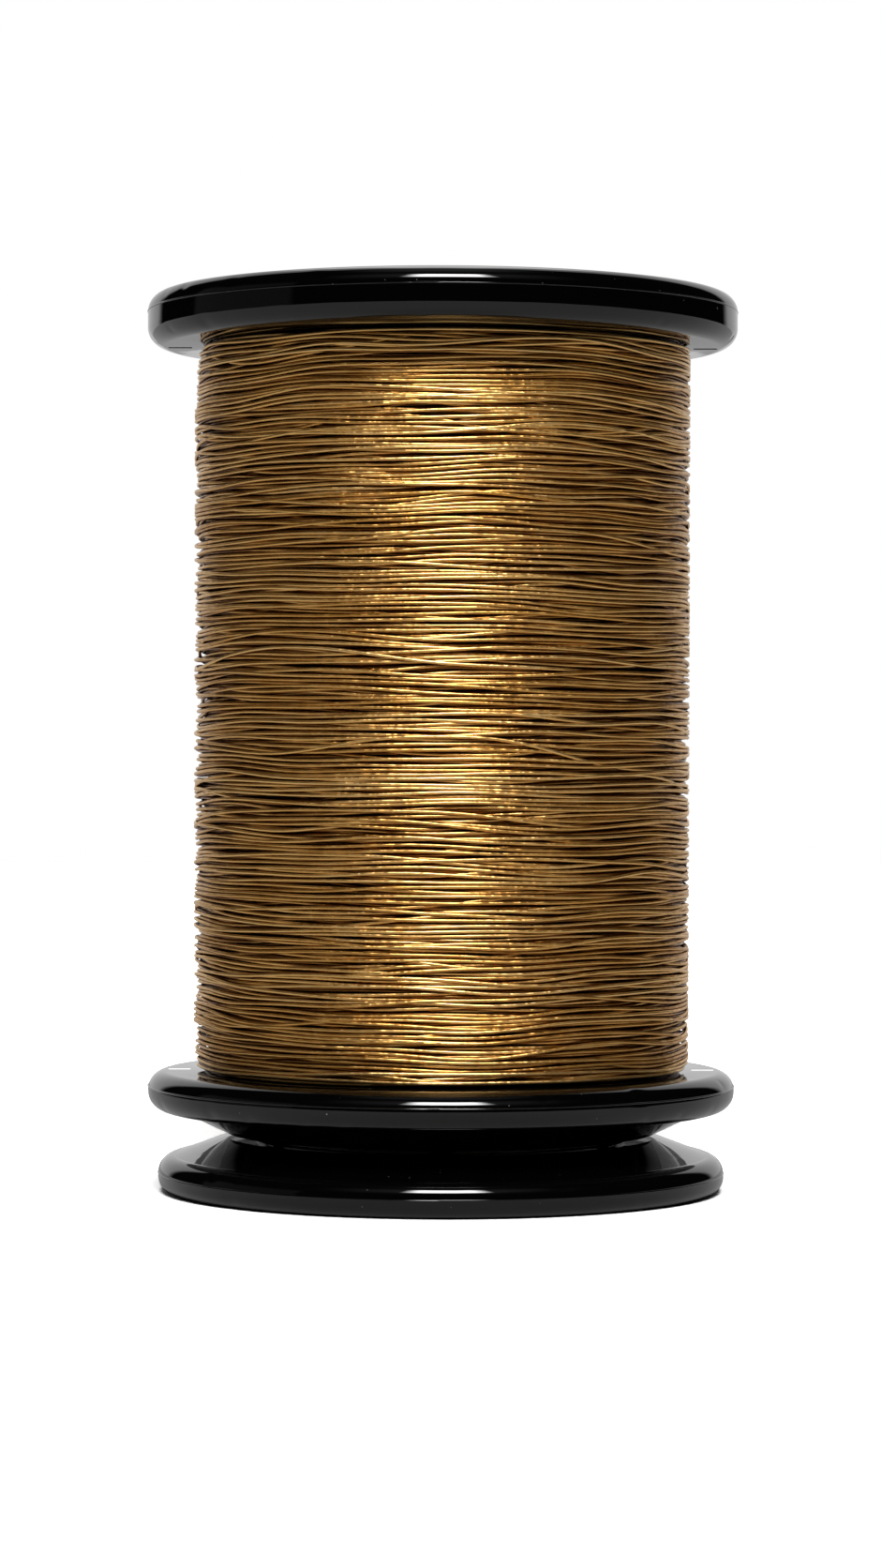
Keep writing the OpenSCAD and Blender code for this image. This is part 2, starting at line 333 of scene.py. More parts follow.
def knock_rim(vertices, rim_r, edge_heights, seed, count):
    """Spreads small dents round a rim, at the heights of its rounded edges."""
    random = np.random.default_rng(seed)
    for _ in range(count):
        dent(vertices, random.uniform(0, 360), rim_r - 0.12, random.choice(edge_heights),
             random.uniform(0.12, 0.3), random.uniform(0.008, 0.03))


# %% [markdown]
# ## The body
#
# The turned shape, its ridges and its dents become one object. The small hole in the barrel
# for the wire's first end is cut with a Boolean modifier, which is applied at once so that
# the mesh is final.

# %% Build the body
body_vertices, body_faces = turned(body_loop)
knock_rim(body_vertices, top_flange_r, [top_z - 0.2, upper_face_z + 0.2], seed=3, count=22)
knock_rim(body_vertices, lower_flange_r, [lower_face_z - 0.2, lower_under_z + 0.25], seed=5, count=22)
dent(body_vertices, -49.5, lower_flange_r - 0.1, lower_face_z - 0.14, size=0.28, depth=0.09)
body_parts = [
    (body_vertices, body_faces),
    rim_ridge(top_flange_r, top_z - top_round, seed=11),
    rim_ridge(lower_flange_r, lower_face_z - parting_drop, seed=12),
]
for side in (-1, 1):
    body_parts.append(face_ridge(top_flange_r, upper_face_z, side, up=-1))
    body_parts.append(face_ridge(lower_flange_r, lower_face_z, side, up=1))
spool_body = make_object("spool_body_moulding", body_parts, sharp_degrees=50)

# %% Cut the hole for the wire's first end
start_hole_r, start_hole_z = 0.4, lower_face_z + 5
hole_loop = np.array([[0, -1], [start_hole_r, -1], [start_hole_r, 1], [0, 1]])
drill = make_object("start_hole_drill", [turned(hole_loop, steps=24)])
drill.rotation_euler = (math.radians(-90), 0, 0)
drill.location = Vector((0, barrel_r - barrel_wall / 2, start_hole_z)) * MM


def apply_modifiers(piece):
    """Turns what the modifiers show into the piece's own mesh."""
    shown = piece.evaluated_get(bpy.context.evaluated_depsgraph_get())
    mesh = bpy.data.meshes.new_from_object(shown)
    piece.modifiers.clear()
    piece.data = mesh


cut = spool_body.modifiers.new("start hole", "BOOLEAN")
cut.operation, cut.object, cut.solver = "DIFFERENCE", drill, "FAST"
bpy.context.view_layer.update()
apply_modifiers(spool_body)
bpy.data.objects.remove(drill)
print("body after the hole:", len(spool_body.data.polygons), "faces")

# %% [markdown]
# ## The snap base
#
# The base is the foot, a hub for the spindle and a collar split into six springy tongues.
# The foot and hub are turned. Each tongue is the collar's outline carried round part of the
# way, so the slots between the tongues are real gaps.

# %% Outline of the foot and hub
base_corners = [
    (spindle_r, bore_bevel, edge_r),
    (spindle_r, hub_length - bore_bevel, 0),
    (spindle_r + bore_bevel, hub_length, edge_r),
    (hub_r, hub_length, edge_r),
    (hub_r, seam_low_z, edge_r),
    (barrel_r, seam_low_z, edge_r),
    (base_r - base_top_round, base_rim_h, 0),
    (base_r, base_rim_h, base_top_round),
    (base_r, 0, base_foot_round),
    (recess_out, 0, edge_r),
    (recess_out, label_recess, 0),
    (recess_in, label_recess, 0),
    (recess_in, 0, edge_r),
    (spindle_r + bore_bevel, 0, edge_r),
]
base_loop = rounded_loop(base_corners[::-1])
print("base outline:", len(base_loop), "points")

# %% Outline of the collar and its snap bead
bead_low_z = bead_top_z - bead_land - 2 * bead_h
collar_corners = [
    (collar_r - collar_wall, seam_low_z - 0.2, 0),
    (collar_r - collar_wall, collar_top_z, edge_r),
    (collar_r, collar_top_z, edge_r),
    (collar_r, bead_top_z, 0),
    (collar_r + bead_h, bead_top_z - bead_h, edge_r),
    (collar_r + bead_h, bead_low_z + bead_h, edge_r),
    (collar_r, bead_low_z, 0),
    (collar_r, seam_low_z - 0.2, 0),
]
collar_loop = rounded_loop(collar_corners[::-1])

# %% Build the base
slot_degrees = math.degrees(collar_slot_w / collar_r)
tongue_degrees = 360 / collar_slots - slot_degrees
base_vertices, base_faces = turned(base_loop)
knock_rim(base_vertices, base_r, [base_rim_h - 0.2, 0.2], seed=7, count=20)
base_parts = [(base_vertices, base_faces), rim_ridge(base_r, base_rim_h - base_top_round, seed=13)]
for i in range(collar_slots):
    start = (i - 0.5) * 360 / collar_slots + slot_degrees / 2
    base_parts.append(capped(collar_loop, start, tongue_degrees, steps=28))
snap_base = make_object("snap_base_moulding", base_parts, sharp_degrees=50)

# %% [markdown]
# ## Winding the wire
#
# The wire is the heart of this object. It isn't a striped cylinder: thousands of turns lie in
# layers, sag into the valleys of the layer below, climb over each other at small angles and
# leave dark gaps. A bump map would look flat at the edges, so the outer turns are real tubes,
# and they are wound the way a machine does it. A height field round the barrel keeps the
# outermost surface. Each turn is laid on it at a slightly unsteady height, rests on whatever
# is under it, is pulled straight between its supports, and then raises the field.

# %% The height field and one turn's rest on it
TURN_STEPS = 96
CELL = 0.02
wire_r = wire_d / 2
cells = round((wound_high_z - wound_low_z) / CELL) + 1
inner_wound_r = winding_r - 5 * wire_d
surface = np.full((TURN_STEPS, cells), inner_wound_r)
reach = int(wire_r / CELL)
offsets = np.arange(-reach, reach + 1)
bulge = np.sqrt(np.maximum(wire_r ** 2 - (offsets * CELL) ** 2, 0))
columns = np.arange(TURN_STEPS)


def rest_on(heights):
    """Radius of the wire's middle when it lies on the field at a height for each column."""
    middle = np.rint((heights - wound_low_z) / CELL).astype(int)
    near = np.clip(middle[:, None] + offsets[None, :], 0, cells - 1)
    return (surface[columns[:, None], near] + bulge[None, :]).max(axis=1)


def raise_field(heights, radii):
    """Marks the wire's outer half on the field."""
    middle = np.rint((heights - wound_low_z) / CELL).astype(int)
    near = np.clip(middle[:, None] + offsets[None, :], 0, cells - 1)
    np.maximum.at(surface, (columns[:, None], near), radii[:, None] + bulge[None, :])


# %% Pull a turn straight between its supports
PULL_REACH = 6
pull_angles = np.arange(-PULL_REACH, PULL_REACH + 1) * 2 * math.pi / TURN_STEPS
pull_sag = winding_r * pull_angles ** 2 / 2


def pulled_tight(radii):
    """The tight string round the supports: straight lines bridge each dip."""
    around = (columns[:, None] + np.arange(-PULL_REACH, PULL_REACH + 1)[None, :]) % TURN_STEPS
    lines = (radii[around] - pull_sag[None, :]).max(axis=1)
    tight = (lines[around] + pull_sag[None, :]).min(axis=1)
    return (np.roll(tight, 1) + 2 * tight + np.roll(tight, -1)) / 4


# %% The wandering hand of the winder
def wander(steps, seed, span_mm, size):
    """A smooth random offset along the wire. Its waves are a few spans long, and size is its spread."""
    span = span_mm * TURN_STEPS / (2 * math.pi * winding_r)
    kernel_steps = np.arange(-int(3 * span), int(3 * span) + 1)
    kernel = np.exp(-(kernel_steps / span) ** 2 / 2)
    noise = np.random.default_rng(seed).normal(size=steps + len(kernel) - 1)
    wave = np.convolve(noise, kernel, mode="valid")
    return size * wave / wave.std()


def shared_waves(seed, size):
    """Waves that neighbouring turns share, so that they run in bundles."""
    random = np.random.default_rng(seed)
    around = random.integers(2, 12, size=16)
    along = random.normal(0, 0.9, size=16)
    shift = random.uniform(0, 2 * math.pi, size=16)
    weight = random.normal(size=16) / np.sqrt(around)
    weight *= size * math.sqrt(2) / np.linalg.norm(weight)
    return lambda angles, heights: np.cos(
        angles[:, None] * around + heights[:, None] * along + shift) @ weight


def layer_heights(low_z, high_z, pitch, seed, upward):
    """Height of the wire at each step of one layer, from one end of the barrel to the other."""
    steps = int((high_z - low_z) / pitch) * TURN_STEPS
    climb = np.linspace(0, high_z - low_z, steps)
    heights = low_z + climb if upward else high_z - climb
    angles = 2 * math.pi * np.arange(steps) / TURN_STEPS
    bundles = shared_waves(seed, 0.04)(angles, heights)
    wobble = wander(steps, seed + 2, 4.0, 0.085) + wander(steps, seed + 5, 1.5, 0.024)
    unrest = np.clip(wander(steps, seed + 3, 12, 1.0) - 0.8, 0, 1.5)
    slips = wander(steps, seed + 4, 2.5, 0.16) * unrest
    return np.clip(heights + bundles + wobble + slips, low_z, high_z)


# %% Let a turn slip into the valleys
# A step may slip this many cells. The cost of a slip keeps it short, and the span makes
# neighbouring steps slip together.
SETTLE_REACH = 8
SETTLE = np.arange(-SETTLE_REACH, SETTLE_REACH + 1) * CELL
SETTLE_COST = 0.12
SETTLE_SPAN = np.exp(-(np.arange(-SETTLE_REACH, SETTLE_REACH + 1) / 3.0) ** 2 / 2)


def smooth_round(values, kernel):
    """Smooths each row of values along a turn, whose end meets its start."""
    shifts = range(-(len(kernel) // 2), len(kernel) // 2 + 1)
    total = sum(weight * np.roll(values, shift, axis=-1) for shift, weight in zip(shifts, kernel))
    return total / kernel.sum()


def settled(heights, low_z, high_z):
    """Lets each part of a turn slip a little sideways, towards a nearby valley."""
    choices = np.stack([rest_on(np.clip(heights + slip, low_z, high_z)) for slip in SETTLE])
    cost = smooth_round(choices, SETTLE_SPAN) + SETTLE_COST * np.abs(SETTLE)[:, None]
    slip = smooth_round(SETTLE[cost.argmin(axis=0)], SETTLE_SPAN)
    return np.clip(heights + slip, low_z, high_z)


# %% Lay each layer
outermost_r = winding_r + 0.02
SOFTEN = np.array([1, 2, 1]) / 4


def softened(values):
    """Takes the last corners out of a layer's path."""
    return np.convolve(np.pad(values, 1, mode="edge"), SOFTEN, mode="valid")


def wind_layer(pitch, gap, seed, upward):
    """Lays one layer on the field, a gap away from the flanges, and gives its heights and radii."""
    low_z, high_z = wound_low_z + gap + wire_r, wound_high_z - gap - wire_r
    heights = layer_heights(low_z, high_z, pitch, seed, upward)
    radii = np.zeros_like(heights)
    for start in range(0, len(heights), TURN_STEPS):
        turn = slice(start, start + TURN_STEPS)
        heights[turn] = settled(heights[turn], low_z, high_z)
        radii[turn] = np.minimum(pulled_tight(rest_on(heights[turn])), outermost_r - wire_r)
        raise_field(heights[turn], radii[turn])
    return softened(heights), softened(radii)


# The winder's hand gets looser from layer to layer, and the ends step back from the flanges
layers = [
    wind_layer(0.135, 0.1 * winding_end_gap, seed=101, upward=True),
    wind_layer(0.140, 0.3 * winding_end_gap, seed=202, upward=False),
    wind_layer(0.150, 0.7 * winding_end_gap, seed=303, upward=True),
    wind_layer(0.165, winding_end_gap, seed=404, upward=False),
]
shown_low_r, shown_high_r = np.percentile(surface.max(axis=0), [5, 95])
print(f"outer radius: mean {surface.mean():.3f} mm")
print(f"outermost of each height: {shown_low_r:.3f} to {shown_high_r:.3f} mm")
for number, (heights, radii) in enumerate(layers):
    print(f"layer {number + 1}: {len(heights) // TURN_STEPS} turns, middle radius {radii.mean():.3f} mm")

# %% [markdown]
# ## Tubes for the turns
#
# A layer is one long list of points. Each stretch of it becomes a tube whose side directions
# are the outward and upward directions, which never twist on a winding. Two numbers from 0 to
# 1 are stored on its points for the finish: the tone of a turn, and how far a point is from the
# painted shade that darkens the deep and inward-facing parts of the winding.

# %% The skin of a tube
TUBE_SIDES = 6
TAIL_SIDES = 10


def directions_along(path):
    """Unit direction of a path at each of its points."""
    ahead = np.gradient(path, axis=0)
    return ahead / np.linalg.norm(ahead, axis=1)[:, None]


def tube_skin(vertices, sides):
    """A tube's vertices with the faces that join its rings and close its ends."""
    last = len(vertices) - sides
    first = np.arange(last // sides)[:, None] * sides
    here, there = np.arange(sides)[None, :], (np.arange(sides)[None, :] + 1) % sides
    faces = np.stack([first + here, first + there, first + sides + there, first + sides + here], axis=-1)
    faces = faces.reshape(-1, 4).tolist()
    return vertices, faces + [list(range(sides))[::-1], [last + k for k in range(sides)]]


# %% A tube along a path that goes round the axis
def tube(path, radius, sides=TUBE_SIDES):
    """Vertices and faces of a tube along points in millimetres, closed at both ends."""
    ahead = directions_along(path)
    outward = path * [1, 1, 0]
    outward /= np.linalg.norm(outward, axis=1)[:, None]
    upward = np.cross(outward, ahead)
    upward /= np.linalg.norm(upward, axis=1)[:, None]
    outward = np.cross(ahead, upward)
    turn = (2 * math.pi * (np.arange(sides) + 0.5) / sides)[None, :, None]
    ring = np.cos(turn) * outward[:, None, :] + np.sin(turn) * upward[:, None, :]
    return tube_skin((path[:, None, :] + radius * ring).reshape(-1, 3), sides)


# %% How far each part of a turn is from the painted shade
def store_on_points(piece, name, values):
    """Keeps one number for each vertex, for the finish to read."""
    attribute = piece.data.attributes.new(name, "FLOAT", "POINT")
    attribute.data.foreach_set("value", np.asarray(values, dtype=np.float32))


envelope = np.stack([np.roll(surface, shift, axis=1) for shift in offsets]).max(axis=0)


def unshaded_share(vertices, first_step):
    """1 on the outermost wire and 0 one diameter or more below it, where the finish paints shade."""
    steps = (first_step + np.arange(len(vertices)) // TUBE_SIDES) % TURN_STEPS
    rows = np.clip(np.rint((vertices[:, 2] - wound_low_z) / CELL).astype(int), 0, cells - 1)
    depth = envelope[steps, rows] - np.hypot(vertices[:, 0], vertices[:, 1])
    return np.clip(1 - depth / wire_d, 0, 1)


# %% Build the layers, in stretches that stay light
stretch_steps = 90 * TURN_STEPS
wire_pieces = []
for number, (heights, radii) in enumerate(layers):
    angles = 2 * math.pi * np.arange(len(heights)) / TURN_STEPS
    path = np.stack([radii * np.cos(angles), radii * np.sin(angles), heights], axis=1)
    tone = np.random.default_rng(900 + number).uniform(size=len(path) // TURN_STEPS + 2)
    for start in range(0, len(path) - 1, stretch_steps):
        stretch = path[start:start + stretch_steps + 1]
        vertices, faces = tube(stretch, wire_r)
        name = f"wire_layer_{number + 1}_part_{start // stretch_steps + 1}"
        piece = make_object(name, [(vertices, faces)])
        along = (start + np.arange(len(stretch))) / TURN_STEPS
        tone_along = np.interp(along, np.arange(len(tone)), tone)
        store_on_points(piece, "turn_tone", np.repeat(tone_along, TUBE_SIDES))
        # Painted shade: the finish darkens a point to dark brown as this number falls.
        store_on_points(piece, "clean", unshaded_share(vertices, start))
        wire_pieces.append(piece)

# %% [markdown]
# ## The wire underneath
#
# Deep in the winding nothing is seen but a glint between the outer turns. The inner turns are
# one turned piece whose outline is scalloped, one scallop for each turn, so that a gap never
# shows a smooth wall.

# %% Inner turns
core_low_z, core_high_z = wound_low_z + 0.01, wound_high_z - 0.01
inner_turns = int((core_high_z - core_low_z) / (wire_d * 1.05))
scallops = np.linspace(0, inner_turns * math.pi, inner_turns * 6 + 1)
scallop_depth = wire_r * 0.6
inner_loop = np.stack([
    inner_wound_r - scallop_depth + scallop_depth * np.abs(np.sin(scallops)),
    core_low_z + (core_high_z - core_low_z) * scallops / scallops[-1],
], axis=1)
inner_loop = np.concatenate([[[barrel_r, core_low_z]], inner_loop, [[barrel_r, core_high_z]]])
inner_winding = make_object("wire_inner_turns", [turned(inner_loop[::-1], steps=72)])
wire_pieces.append(inner_winding)

# %% [markdown]
# ## The two ends of the wire
#
# The first end goes through the hole in the barrel and up the inside wall. The free end comes
# off the outer layer at the back, bends over the lower flange, runs down the V groove and is
# held in the seam. Both routes are a few points, each placed from the piece that it touches,
# joined by a smooth curve.

# %% A smooth curve through a few points
def smooth_route(points, steps=10):
    """A Catmull-Rom curve through points given as azimuth, radius and height."""
    route = np.array(points, float)
    padded = np.concatenate([route[:1], route, route[-1:]])
    out = []
    for i in range(len(route) - 1):
        p0, p1, p2, p3 = padded[i:i + 4]
        for t in np.arange(steps) / steps:
            out.append(0.5 * (
                2 * p1 + (p2 - p0) * t + (2 * p0 - 5 * p1 + 4 * p2 - p3) * t ** 2
                + (3 * p1 - p0 - 3 * p2 + p3) * t ** 3
            ))
    out = np.array(out + [route[-1]])
    a = np.radians(out[:, 0])
    return np.stack([out[:, 1] * np.cos(a), out[:, 1] * np.sin(a), out[:, 2]], axis=1)


# %% The free end
lift = wire_r + seam_play / 2
cone_angle = math.atan(flange_cone_h / (flange_cone_r - barrel_r))
seam_middle_z = (seam_low_z + seam_high_z) / 2
clamped_r = barrel_r - 3 * wire_d


def lying_radius(azimuth, z):
    """Radius of the wire's middle where it lies on the outer layer."""
    column = round(azimuth / 360 * TURN_STEPS) % TURN_STEPS
    middle = int((z - wound_low_z) / CELL)
    near = surface[column - 1:column + 2, max(middle - 3, 0):middle + 4]
    return near.max() + wire_r


def over_rim(azimuth, turn):
    """A point beside the lower flange's upper rounding."""
    t = math.radians(turn)
    return (azimuth, lower_flange_r - inner_round + (inner_round + lift) * math.sin(t),
            lower_face_z - inner_round + (inner_round + lift) * math.cos(t))


def under_rim(azimuth, turn):
    """A point beside the lower flange's bottom rounding."""
    t = math.radians(turn)
    return (azimuth, lower_flange_r - lower_round + (lower_round + lift) * math.cos(t),
            lower_under_z + lower_round - (lower_round + lift) * math.sin(t))


def on_cone(azimuth, share):
    """A point under the lower flange's cone."""
    return (azimuth, barrel_r + share * (flange_cone_r - barrel_r) + lift * math.sin(cone_angle),
            seam_high_z + share * flange_cone_h - lift * math.cos(cone_angle))


leave_z, near_z = winding_low_z + 6 * wire_d, winding_low_z + 3 * wire_d
free_end = smooth_route([
    (30, lying_radius(30, leave_z + wire_d) - wire_r, leave_z + wire_d),
    (44, lying_radius(44, leave_z), leave_z),
    (56, lying_radius(56, near_z), near_z),
    (66, winding_r + 2 * lift, lower_face_z + 2.5 * wire_d),
    over_rim(72, 0), over_rim(75, 15), over_rim(77.5, 45), over_rim(79, 80),
    under_rim(81, 10), under_rim(82.5, 45), under_rim(84.5, 80),
    on_cone(92, 0.5), on_cone(99, 0.15),
    (106, barrel_r, seam_middle_z),
    (112, clamped_r, seam_middle_z), (122, clamped_r, seam_middle_z),
    (128, barrel_r, seam_middle_z),
    (132, barrel_r + 4 * wire_d, seam_middle_z + wire_r),
    (136, barrel_r + 8 * wire_d, seam_middle_z + 2 * wire_d),
])
finish_tail = make_object("wire_free_end", [tube(free_end, wire_r, sides=TAIL_SIDES)])

# %% The first end
inside_r = barrel_bore_r - wire_d
start_rise = 9
first_end = smooth_route([
    (90, barrel_r + wire_r, start_hole_z),
    (90.2, barrel_r - 0.6 * barrel_wall, start_hole_z),
    (91, inside_r, start_hole_z + 0.05 * start_rise),
    (93, inside_r - wire_d, start_hole_z + 0.12 * start_rise),
    (98, inside_r - wire_d, start_hole_z + 0.4 * start_rise),
    (102, inside_r, start_hole_z + 0.7 * start_rise),
    (110, inside_r, start_hole_z + start_rise),
])


def swept_tube(path, radius, sides):
    """A tube for a path that turns in all directions: its side direction is carried along."""
    ahead = directions_along(path)
    side = np.cross(ahead[0], [0.3, 0.9, 0.1])
    rings = []
    for point, direction in zip(path, ahead):
        side = side - (side @ direction) * direction
        side /= np.linalg.norm(side)
        other = np.cross(direction, side)
        rings.append([
            point + radius * (math.cos(a) * side + math.sin(a) * other)
            for a in 2 * math.pi * np.arange(sides) / sides
        ])
    return tube_skin(np.array(rings).reshape(-1, 3), sides)


start_tail = make_object("wire_first_end", [swept_tube(first_end, wire_r, sides=TAIL_SIDES)])

# %% [markdown]
# ## Shader maths
#
# A finish is a small program made of nodes. Writing it as Python expressions keeps it short:
# a Signal is one socket's output, and +, - and * on signals add Math nodes, or Vector Math
# nodes when the signal is a vector. A Recipe is the node tree, and its method adds any node.

# %% Signals and recipes
class Signal:
    """One output of a node, which can be used in an expression."""

    def __init__(self, recipe, node, socket):
        self.recipe, self.node, self.socket = recipe, node, socket

    def __getitem__(self, name):
        return Signal(self.recipe, self.node, self.node.outputs[name])

    def is_vector(self):
        return self.socket.type in ("VECTOR", "RGBA")

    def math(self, operation, first, second):
        """One Math node, or one Vector Math node for a vector."""
        kind = "ShaderNodeVectorMath" if self.is_vector() else "ShaderNodeMath"
        return self.recipe.add(kind, {"operation": operation}, {0: first, 1: second})

    def __add__(self, other):
        return self.math("ADD", self, other)

    def __radd__(self, other):
        return self.math("ADD", other, self)

    def __sub__(self, other):
        return self.math("SUBTRACT", self, other)

    def __rsub__(self, other):
        return self.math("SUBTRACT", other, self)

    def __mul__(self, other):
        return self.math("MULTIPLY", self, other)

    def __rmul__(self, other):
        return self.math("MULTIPLY", other, self)

    def step(self, low, high):
        """0 below low, 1 above high and a smooth change between them."""
        return self.recipe.add("ShaderNodeMapRange", {"interpolation_type": "SMOOTHSTEP"},
                               {"Value": self, "From Min": low, "From Max": high})


class Recipe:
    """A node tree that is being written."""

    def __init__(self, tree):
        self.tree = tree
        tree.nodes.clear()

    def add(self, kind, settings=None, sockets=None):
        """Adds one node: its settings first, then the values or links of its sockets."""
        node = self.tree.nodes.new(kind)
        for name, value in (settings or {}).items():
            if name == "stops":
                ramp = node.color_ramp
                while len(ramp.elements) < len(value):
                    ramp.elements.new(0.5)
                for element, (position, colour) in zip(ramp.elements, value):
                    element.position, element.color = position, (*colour, 1)
            else:
                setattr(node, name, value)
        for name, value in (sockets or {}).items():
            if isinstance(value, Signal):
                self.tree.links.new(value.socket, node.inputs[name])
            elif node.inputs[name].type == "VECTOR" and isinstance(value, (int, float)):
                node.inputs[name].default_value = (value,) * 3
            else:
                node.inputs[name].default_value = value
        outputs = [s for s in node.outputs if s.enabled]
        return Signal(self, node, outputs[0]) if outputs else node

    def mix_colour(self, factor, first, second):
        """A blend of two colours."""
        node = self.add("ShaderNodeMix", {"data_type": "RGBA"}).node
        for key, value in ((0, factor), (6, first), (7, second)):
            if isinstance(value, Signal):
                self.tree.links.new(value.socket, node.inputs[key])
            else:
                node.inputs[key].default_value = value if key == 0 else (*value, 1)
        return Signal(self, node, node.outputs[2])


def new_material(name):
    """A material and the recipe for its nodes."""
    material = bpy.data.materials.new(name)
    material.use_nodes = True
    return material, Recipe(material.node_tree)


# %% [markdown]
# ## Black plastic
#
# Glossy black plastic shows almost nothing but reflections, so what gives it away is how they
# break: a faint waviness left by the mould, hair scratches that run in all directions, and
# specks of dust that are lighter and dull. Each is a mask of its own, scaled in millimetres.

# %% Masks for wear and dust
def position_mm(recipe):
    """Where a point is on the object, in millimetres."""
    coordinates = recipe.add("ShaderNodeTexCoord")
    return coordinates["Object"] * (1 / MM)


def noise(recipe, position, scale, detail, roughness=0.5):
    """Soft noise between about 0 and 1, its scale in features per millimetre."""
    return recipe.add("ShaderNodeTexNoise", {}, {
        "Vector": position, "Scale": scale, "Detail": detail, "Roughness": roughness})


def scratches(recipe, position, turn, stretch, scale, width):
    """Fine lines: the thin zero line of a noise that is stretched along one direction."""
    turned_position = recipe.add("ShaderNodeMapping", {}, {
        "Vector": position, "Rotation": turn, "Scale": stretch})
    pattern = noise(recipe, turned_position, scale, 1.0, 0.4)
    distance = recipe.add("ShaderNodeMath", {"operation": "ABSOLUTE"}, {0: pattern - 0.5})
    return 1 - distance.step(0.0, width)


def dust(recipe, position, scale, size, share):
    """Small specks: the middles of cells, kept only where a cell's own number is high."""
    cell = recipe.add("ShaderNodeTexVoronoi", {}, {
        "Vector": position, "Scale": scale, "Randomness": 1.0})
    near = 1 - cell["Distance"].step(size * 0.5, size)
    pick = recipe.add("ShaderNodeSeparateColor", {}, {"Color": cell["Color"]})
    return near * pick["Red"].step(1 - share, 1 - share * 0.9)


# %% The plastic's recipe
def black_plastic(name):
    """Glossy black, with a film of handling, fine scratches in worn patches, and dust."""
    material, recipe = new_material(name)
    position = position_mm(recipe)
    worn = noise(recipe, position, 0.5, 2.0).step(0.5, 0.72)
    lines = scratches(recipe, position, (0.3, 1.1, 0.5), (4.0, 0.25, 1.0), 1.3, 0.010)
    more_lines = scratches(recipe, position, (1.2, 0.2, 2.0), (0.3, 5.0, 1.0), 1.1, 0.008)
    scratch = (lines + more_lines) * worn
    specks = dust(recipe, position, 2.2, 0.09, 0.06)
    fine_specks = dust(recipe, position, 6.0, 0.12, 0.03)
    dusty = specks + fine_specks * 0.7
    colour = recipe.mix_colour(dusty * 0.75, (0.0009, 0.0009, 0.001), (0.30, 0.29, 0.27))
    film = noise(recipe, position, 2.4, 4.0, 0.6).step(0.45, 0.8)
    roughness = 0.028 + 0.06 * film * worn + 0.08 * scratch + 0.35 * dusty
    wave = noise(recipe, position, 0.9, 1.0)
    skin = noise(recipe, position, 9.0, 2.0)
    relief = wave * 0.9 + skin * 0.035 - scratch * 0.03 + dusty * 0.05
    bump = recipe.add("ShaderNodeBump", {}, {"Height": relief, "Strength": 1.0, "Distance": 0.0000045})
    shader = recipe.add("ShaderNodeBsdfPrincipled", {}, {
        "Base Color": colour, "Roughness": roughness, "IOR": 1.52, "Normal": bump})
    recipe.add("ShaderNodeOutputMaterial", {}, {"Surface": shader})
    return material


plastic = black_plastic("gloss_black_plastic")

# %% [markdown]
# ## Gold wire
#
# The wire is drawn metal under clear lacquer. Along a strand the colour drifts a little, whole
# turns are darker where the lacquer is thin, and the deep and inward-facing wire gets painted shade.
# Each strand has small kinks of its own along its length, which scatter its highlight.

# %% The wire's recipe
# Painted shade: the first brown darkens the deep and inward-facing wire, the second the inner turns.
painted_shade_gold = (0.30, 0.125, 0.022)
shaded_gold = (0.10, 0.05, 0.012)


def gold_wire(name, wound=False, shade=0.0):
    """Gold wire. A wound one gets painted shade where it lies deep, and shade paints an even shade over
    all of it.
    """
    material, recipe = new_material(name)
    position = position_mm(recipe)
    tone = recipe.add("ShaderNodeAttribute", {"attribute_name": "turn_tone"})["Fac"]
    drift = noise(recipe, position, 1.1, 3.0, 0.6)
    grain = noise(recipe, position, 9.0, 2.0)
    mixed = tone * 0.4 + drift * 0.5 + grain * 0.12
    colour = recipe.add("ShaderNodeValToRGB", {"stops": [
        (0.0, (0.42, 0.19, 0.03)), (0.3, (0.70, 0.36, 0.08)),
        (0.6, (0.95, 0.58, 0.19)), (1.0, (1.0, 0.74, 0.36))]}, {"Fac": mixed})
    if wound:
        # Painted shade on the deep and inward-facing parts of the winding.
        clean = recipe.add("ShaderNodeAttribute", {"attribute_name": "clean"})["Fac"]
        colour = recipe.mix_colour(clean.step(0.0, 0.8), painted_shade_gold, colour)
    if shade:
        colour = recipe.mix_colour(shade, colour, shaded_gold)
    roughness = 0.27 + 0.10 * drift + 0.08 * grain
    kinks = recipe.add("ShaderNodeTexNoise", {"noise_dimensions": "4D"}, {
        "Vector": position * (1.0, 1.0, 0.0), "W": tone * 40.0, "Scale": 2.2, "Detail": 2.0})
    bump = recipe.add("ShaderNodeBump", {}, {"Height": kinks, "Strength": 1.0, "Distance": 0.00008})
    shader = recipe.add("ShaderNodeBsdfPrincipled", {}, {
        "Base Color": colour, "Metallic": 1.0, "Roughness": roughness, "Normal": bump,
        "Coat Weight": 0.25, "Coat Roughness": 0.12})
    recipe.add("ShaderNodeOutputMaterial", {}, {"Surface": shader})
    return material


wire_finish = gold_wire("gold_wire", wound=True)
wire_end_finish = gold_wire("gold_wire_ends")
deep_wire_finish = gold_wire("gold_wire_deep", shade=0.8)

# %% [markdown]
# ## Blank paper labels
#
# A plain ring of uncoated paper lies in the recess of each end. It has soft mottling, fibres
# and a slightly greyed rim where fingers have rubbed it.

